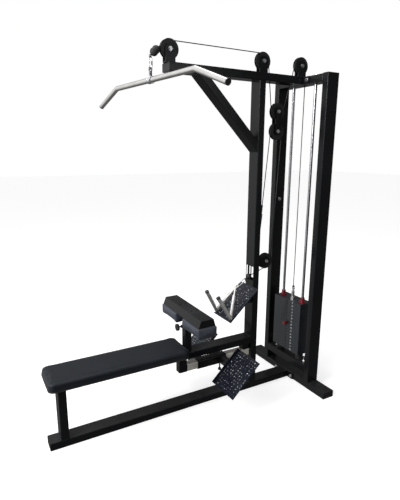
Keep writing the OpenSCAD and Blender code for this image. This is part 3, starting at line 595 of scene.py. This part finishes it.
def bar_point(y, z):
    """A point of the bar's own plane, y along the bar, in the row frame."""
    return at(BAR_X - y * math.sin(YAW), y * math.cos(YAW), BAR_Z + z)


half = []
straight = BAR_MID - BEND_R * math.tan(DROOP / 2)
for i in range(9):
    t = DROOP * i / 8
    half.append((straight + BEND_R * math.sin(t), -BEND_R * (1 - math.cos(t))))
half.append((BAR_MID + BAR_END * math.cos(DROOP), -BAR_END * math.sin(DROOP)))
path = [bar_point(-y, z) for y, z in reversed(half)] + [bar_point(0, 0)]
path += [bar_point(y, z) for y, z in half]
bar = tube("bar_tube", path, 0.016, MAT["chrome"], 40)
bar.data.set_sharp_from_angle(angle=math.radians(40))
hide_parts("lat_bar")
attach(bar, "bar")
bar_axis = bar_point(1, 0) - bar_point(0, 0)
collar = lathe("bar_collar", [(15.9, -18), (20, -18), (21, -17), (21, -11), (19.6, -9.5), (19.6, 9.5),
                              (21, 11), (21, 17), (20, 18), (15.9, 18)],
               bar_point(0, 0), bar_axis, MAT["steel"])
stud = lathe("bar_stud", [(0.2, 17), (8, 17), (8, 21), (7, 21.5), (0.2, 21.5)], bar_point(0, 0), (0, 0, 1),
             MAT["steel"])
for obj in (collar, stud):
    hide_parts("lat_bar")
    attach(obj, "bar")

# Screw sleeves on the two carabiners' gates
LINK_TOP = (BAR_RING.z * 1000) - 7 + 2.5 + 3.5 + 0.3
gate_x = Vector((math.cos(math.radians(30)), math.sin(math.radians(30)), 0)) * 0.013
gate = lathe("bar_carabiner_gate", [(0.2, -12), (4.6, -12), (5.4, -10.5)]
             + [(5.4 - 0.35 * (i % 2), -10 + i) for i in range(21)] + [(5.4, 10.5), (4.6, 12), (0.2, 12)],
             at(BAR_X, 0, LINK_TOP - 37) + gate_x, (0, 0, 1), MAT["steel"], 24)
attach(gate, "bar_hanger")
row_mid = at(BALL[0], 0, BALL[1]) + ROW_DIR * (0.0322 + 0.039)
gate = lathe("row_carabiner_gate", [(0.2, -10), (4.2, -10), (4.9, -8.5)]
             + [(4.9 - 0.35 * (i % 2), -8 + i) for i in range(17)] + [(4.9, 8.5), (4.2, 10), (0.2, 10)],
             row_mid + ROW_DIR.cross(Vector((0, 1, 0))) * 0.01, ROW_DIR, MAT["steel"], 24)
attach(gate, "row_hanger")

# ---------------------------------------------------------------- pulleys

WHEELS = {"front_wheel": FRONT, "middle_wheel": MIDDLE, "rear_wheel": REAR, "row_wheel": ROW,
          "float_upper_wheel": FLOAT_UP, "float_lower_wheel": FLOAT_LOW}
for body, (x, z) in WHEELS.items():
    shields = []
    for side in (-1, 1):
        shields.append(lathe("s", [(6.4, 5.6), (15.2, 5.6), (15.2, 6.1), (13.4, 6.5), (9.2, 6.5),
                                   (8.6, 5.9), (6.4, 5.9)], at(x, 0, z), (0, side, 0), MAT["steel"]))
    shield = join(body.replace("wheel", "bearing_shields"), shields)
    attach(shield, body)

# ---------------------------------------------------------------- tread pattern

def tread(name, origin, along, across, length, width, body, pitch=21.0):
    """Raised bars in a two-way pattern on a plate; along and across are unit vectors."""
    normal = along.cross(across).normalized()
    if normal.z < 0:
        normal = -normal
    verts, faces = [], []
    rows, cols = int(length // pitch), int(width // pitch)
    for i in range(rows):
        for j in range(cols):
            u = (length - (rows - 1) * pitch) / 2 + i * pitch
            v = (width - (cols - 1) * pitch) / 2 + j * pitch
            ang = math.radians(45 if (i + j) % 2 else -45)
            la = math.cos(ang) * along + math.sin(ang) * across
            lb = normal.cross(la)
            centre = origin + (u * along + v * across) / 1000
            base = len(verts)
            rings = []
            for half_l, half_w, h in ((8.0, 3.0, -0.3), (7.3, 2.4, 0.7), (5.6, 1.4, 1.25)):
                rings.append([
                    centre + (half_l * math.cos(t) * la + half_w * math.sin(t) * lb + h * normal) / 1000
                    for t in (2 * math.pi * k / 14 for k in range(14))])
            v2, f2 = loft(rings, base)
            verts += v2
            faces += f2
    obj = make_object(name, verts, faces, MAT["bars"])
    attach(obj, body)


def uphill(degrees):
    return Vector((math.cos(math.radians(degrees)), 0, math.sin(math.radians(degrees))))


# Lower edge in x and z, tilt, and the length and width that the bars cover
FOOT_LOW, FOOT_TILT, FOOT_FIELD = (-386, 204), 44.5, (286, 234)
TRAY_LOW, TRAY_TILT, TRAY_FIELD = (-231, 604.5), 42.7, (300, 220)
for side, name in ((-1, "near"), (1, "far")):
    tread("tread_" + name, at(FOOT_LOW[0], side * 150, FOOT_LOW[1]) + 0.006 * uphill(FOOT_TILT),
          uphill(FOOT_TILT), Vector((0, side, 0)), *FOOT_FIELD, "foot_set")
tread("tread_tray", at(TRAY_LOW[0], -TRAY_FIELD[1] / 2, TRAY_LOW[1]) + 0.01 * uphill(TRAY_TILT),
      uphill(TRAY_TILT), Vector((0, 1, 0)), *TRAY_FIELD, "frame")

# ---------------------------------------------------------------- weld beads

def weld(p, q, radius=2.6):
    """Bead with the ripple of stacked drops, from p to q."""
    a, b = at(*p), at(*q)
    n = max(3, int((b - a).length * 1000 / 1.6))
    points = [a.lerp(b, i / n) for i in range(n + 1)]
    sizes = [(radius * (0.86 + 0.16 * abs(math.sin(i * 1.25))) * random.uniform(0.94, 1.06)
              if 0 < i < n else radius * 0.4) / 1000 for i in range(n + 1)]
    return tube("w", points, sizes, MAT["frame"], 8)


TUBE, HALF = 50, 50             # a frame tube is TUBE thick and 2 * HALF wide
POST = -1406                    # the seat post's front face
BEAM = 425                      # the seat beam's top
TOP = 2230                      # the top beam's underside
STACK_FRONT, STACK_IN, STACK_OUT = 380, 220, 270
CROSS = 120                     # the lower crossbeam's underside
BRACE_Z, BRACE_X = (1772, 1842), (-458, -388)   # where the brace meets the upright and the top beam
RAIL_X, RAIL_Z, RAIL = -530, 272, 55            # the foot rail's front, underside and side
GUSSET = (704, 814)             # the gussets' height on the upright

beads = []
for x, z in ((POST, TUBE), (POST + TUBE, TUBE), (POST, BEAM - TUBE), (POST + TUBE, BEAM - TUBE), (0, TUBE),
             (TUBE, TUBE), (0, BEAM - TUBE), (0, BEAM), (0, BRACE_Z[0]), (0, BRACE_Z[1]), (BRACE_X[0], TOP),
             (BRACE_X[1], TOP), (0, TOP), (TUBE, TOP)):
    beads.append(weld((x, 6 - HALF, z), (x, HALF - 6, z)))
for y in (-HALF, HALF):
    beads.append(weld((0, y, BEAM - TUBE + 4), (0, y, BEAM - 4), 2.0))
    for x, z in ((POST, TUBE), (POST, BEAM - TUBE), (0, TUBE), (0, TOP)):
        beads.append(weld((x + 4, y, z), (x + TUBE - 4, y, z), 1.3))
    beads.append(weld((0, y, BRACE_Z[0] + 5), (0, y, BRACE_Z[1] - 5), 2.0))
    beads.append(weld((BRACE_X[0] + 5, y, TOP), (BRACE_X[1] - 5, y, TOP), 2.0))
for s in (-1, 1):
    near, far = STACK_FRONT + 6, STACK_FRONT + 2 * HALF - 6
    for y in (STACK_IN, STACK_OUT):
        beads.append(weld((near, s * y, TUBE), (far, s * y, TUBE)))
    beads.append(weld((near, s * STACK_IN, CROSS), (far, s * STACK_IN, CROSS)))
    beads.append(weld((near, s * STACK_IN, TOP), (far, s * STACK_IN, TOP)))
    for low, high in ((TOP + 5, TOP + TUBE - 5), (CROSS + 5, CROSS + TUBE - 4)):
        beads.append(weld((STACK_FRONT, s * STACK_IN, low), (STACK_FRONT, s * STACK_IN, high), 1.8))
    for x, _ in (FRONT, MIDDLE, REAR):
        for y, z, radius in ((20, TOP + TUBE, 2.2), (14, TOP + TUBE + 6, 1.8)):
            beads.append(weld((x - 30, s * y, z), (x + 30, s * y, z), radius))
    beads.append(weld((TUBE, s * 20, ROW[1] - 30), (TUBE, s * 20, ROW[1] + 30), 2.2))
    y = s * RAIL / 2
    for x in (RAIL_X, 0):
        beads.append(weld((x, y, RAIL_Z + 4), (x, y, RAIL_Z + RAIL - 4), 2.0))
    for x in (RAIL_X - 55, -55):
        beads.append(weld((x, y, BEAM - TUBE), (x + 50, y, BEAM - TUBE), 2.2))
    beads.append(weld((-55, s * 27, RAIL_Z + RAIL), (-5, s * 27, RAIL_Z + RAIL), 2.0))
beads.append(weld((0, 2 - HALF, 817.5), (0, HALF - 2, 817.5), 2.4))
for y in (-37, 37):
    beads.append(weld((0, y, GUSSET[0]), (0, y, GUSSET[1]), 2.2))
welds = join("frame_welds", beads)
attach(welds, "frame")
STUB_X, STUB_TOP, STUB = -262, 318, 50      # the stubs that carry the footplates
SLEEVE_SIDE = 32.3                          # half the width of the sleeve on the rail
beads = []
for s in (-1, 1):
    y = s * SLEEVE_SIDE
    beads.append(weld((STUB_X + 4, y, STUB_TOP), (STUB_X + STUB - 4, y, STUB_TOP), 2.0))
    for x in (STUB_X, STUB_X + STUB):
        beads.append(weld((x, y, STUB_TOP - STUB + 4), (x, y, STUB_TOP - 4), 2.0))
    beads.append(weld((STUB_X, s * 150, STUB_TOP), (STUB_X, s * 272, STUB_TOP), 2.4))
welds = join("foot_welds", beads)
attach(welds, "foot_set")

# ---------------------------------------------------------------- plate numbers

FACE = Matrix(((0, 0, -1), (-1, 0, 0), (0, 1, 0)))       # text read from the seat's side


def number(text, place, size):
    data = bpy.data.curves.new("n", "FONT")
    data.body = text
    data.size = size
    data.extrude = 0.0001
    data.align_x = "CENTER"
    data.align_y = "CENTER"
    obj = bpy.data.objects.new("n", data)
    bpy.context.collection.objects.link(obj)
    bpy.context.view_layer.update()
    mesh = bpy.data.meshes.new_from_object(obj)
    bpy.data.objects.remove(obj, do_unlink=True)
    mesh.transform(Matrix.Translation(place) @ FACE.to_4x4())
    out = bpy.data.objects.new("n", mesh)
    bpy.context.collection.objects.link(out)
    mesh.materials.clear()
    mesh.materials.append(MAT["ink"])
    return out


PLATES, PLATE_PITCH, PLATE_H, STACK_LOW, PLATE_FACE = 16, 26, 25.5, 228, 374.6
LOW_PLATES = 8                  # these stay down when the pin is where it is drawn
for name, body, plates in (("numbers_low", "frame", range(LOW_PLATES)),
                           ("numbers_high", "stack_carriage", range(LOW_PLATES, PLATES))):
    marks = [number(str(5 * (PLATES - i)), at(PLATE_FACE, -60, STACK_LOW + PLATE_PITCH * i + PLATE_H / 2),
                    0.017) for i in plates]
    marks = join(name, marks)
    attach(marks, body)

# ---------------------------------------------------------------- cushions

def outline(w, h, r, steps=8):
    """Rounded rectangle about the origin, anticlockwise, in millimetres."""
    pts = []
    for cx, cy, a0 in ((w / 2 - r, h / 2 - r, 0), (r - w / 2, h / 2 - r, 90), (r - w / 2, r - h / 2, 180),
                       (w / 2 - r, r - h / 2, 270)):
        for k in range(steps + 1):
            a = math.radians(a0 + 90 * k / steps)
            pts.append((cx + r * math.cos(a), cy + r * math.sin(a)))
    return pts


def puff(obj, voxel, pinned, cap, pressure=4.0, frames=20):
    """Remesh, blow up as cloth with pinned points held, and keep each point within cap of its start."""
    bpy.context.view_layer.objects.active = obj
    obj.data.remesh_voxel_size = voxel
    bpy.ops.object.select_all(action="DESELECT")
    obj.select_set(True)
    bpy.ops.object.voxel_remesh()
    start = [v.co.copy() for v in obj.data.vertices]
    group = obj.vertex_groups.new(name="pin")
    group.add([i for i, c in enumerate(start) if pinned(c)], 1.0, "REPLACE")
    mod = obj.modifiers.new("Cloth", "CLOTH")
    mod.settings.quality = 5
    mod.settings.mass = 0.3
    mod.settings.tension_stiffness = 12
    mod.settings.compression_stiffness = 12
    mod.settings.shear_stiffness = 6
    mod.settings.bending_stiffness = 1.5
    mod.settings.use_pressure = True
    mod.settings.uniform_pressure_force = pressure
    mod.settings.vertex_group_mass = "pin"
    mod.settings.effector_weights.gravity = 0.0
    scene = bpy.context.scene
    for frame_no in range(1, frames + 1):
        scene.frame_set(frame_no)
    graph = bpy.context.evaluated_depsgraph_get()
    blown = [v.co.copy() for v in obj.evaluated_get(graph).data.vertices]
    obj.modifiers.remove(mod)
    scene.frame_set(1)
    for v, a, b in zip(obj.data.vertices, start, blown):
        move = b - a
        if move.length > cap:
            move *= cap / move.length
        v.co = a + move
    return obj


def relax(obj, rounds, keep):
    """Laplacian smoothing; keep(co) points stay where they are."""
    mesh = obj.data
    near = [[] for _ in mesh.vertices]
    for e in mesh.edges:
        a, b = e.vertices
        near[a].append(b)
        near[b].append(a)
    co = [v.co.copy() for v in mesh.vertices]
    held = [keep(c) for c in co]
    for _ in range(rounds):
        new = []
        for i, c in enumerate(co):
            if held[i] or not near[i]:
                new.append(c)
            else:
                mid = sum((co[j] for j in near[i]), Vector()) / len(near[i])
                new.append(c.lerp(mid, 0.5))
        co = new
    for v, c in zip(mesh.vertices, co):
        v.co = c


def subdivide(obj):
    mod = obj.modifiers.new("Subdivision", "SUBSURF")
    mod.levels = 1
    mod.render_levels = 1
    bpy.context.view_layer.objects.active = obj
    bpy.ops.object.modifier_apply(modifier=mod.name)


# Seat: foam on a board, vinyl pulled over the edge and pleated under the corners
SEAT_X, SEAT_W, SEAT_L, SEAT_Z, SEAT_H, SEAT_R = -1475, 280.0, 929.0, 435.0, 47.0, 45.0
PLEATS = 16                     # folds of vinyl per radian round a corner
mid = at(SEAT_X + SEAT_L / 2, 0, 0)
rings = []
for inset, z in ((7, 0), (3, 6), (3, 30), (5, 38), (9, 43), (16, 45)):
    rings.append([mid + Vector((x, y, SEAT_Z + z)) / 1000 for x, y in
                  outline(SEAT_L - 2 * inset, SEAT_W - 2 * inset, max(8, SEAT_R - inset))])
verts, faces = loft(rings)
seat = make_object("seat_cushion", verts, faces, MAT["seat"])
puff(seat, 0.0065, lambda c: c.z < SEAT_Z / 1000 + 0.004, 0.006)
relax(seat, 3, lambda c: c.z < SEAT_Z / 1000 + 0.002)
for v in seat.data.vertices:
    local = (v.co - mid) * 1000
    edge_x = abs(local.x) - (SEAT_L / 2 - SEAT_R)
    edge_y = abs(local.y) - (SEAT_W / 2 - SEAT_R)
    z = v.co.z * 1000 - SEAT_Z
    if edge_x > 0 and edge_y > 0 and 0.5 < z < 40:
        ang = math.atan2(edge_y, edge_x)
        deep = 1.5 * max(0.0, math.sin(ang * PLEATS)) ** 2 * (1 - z / 40) ** 1.3
        out = Vector((math.copysign(edge_x, local.x), math.copysign(edge_y, local.y), 0)).normalized()
        v.co -= out * deep / 1000
    v.co.z = max(v.co.z, (SEAT_Z + 0.1) / 1000)
    v.co.z = min(v.co.z, (SEAT_Z + SEAT_H + 2) / 1000)
    v.co.x = max(v.co.x, at(SEAT_X - 3, 0, 0).x)
subdivide(seat)
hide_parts("seat_pad")
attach(seat, "frame")

# Thigh pads: one each side of the post, hung under the folded channel
# PROFILE is the section in x and z about PAD_MID. Above SHOULDER the foam fills the channel, which
# ends at CHANNEL_END from the middle.
PAD_MID, SHOULDER, CHANNEL_END = (-510, 660), 687, 257
PROFILE = [(-580, 624), (-574, 617), (-566, 615), (-454, 615), (-446, 617), (-440, 624), (-440, 682),
           (-443, 686), (-456, 687), (-465, 716), (-550, 716), (-563, 687), (-577, 686), (-580, 682)]
for side, name in ((-1, "near"), (1, "far")):
    rings = []
    for y, shrink in ((47, 4), (50, 1), (54, 0), (257, 0), (259, 0), (268, 0), (272, 1), (275, 4)):
        ring = []
        for x, z in PROFILE:
            z = min(z, SHOULDER) if y > CHANNEL_END else z
            cx = PAD_MID[0] + (x - PAD_MID[0]) * (1 - shrink / 70)
            cz = PAD_MID[1] + (z - PAD_MID[1]) * (1 - shrink / 45)
            ring.append(at(cx, side * y, cz))
        rings.append(ring)
    verts, faces = loft(rings)
    pad = make_object("thigh_cushion_" + name, verts, faces, MAT["pad"])
    puff(pad, 0.005, lambda c: c.z > 0.684, 0.006, 5.0)
    relax(pad, 2, lambda c: c.z > 0.69)
    for v in pad.data.vertices:
        v.co.z = max(v.co.z, 0.6105)
        reach = 76 if v.co.z < (SHOULDER + 2) / 1000 else 55
        v.co.x = min(max(v.co.x, at(PAD_MID[0] - reach, 0, 0).x), at(PAD_MID[0] + reach, 0, 0).x)
    subdivide(pad)
    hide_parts("thigh_pads")
    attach(pad, "thigh_set")
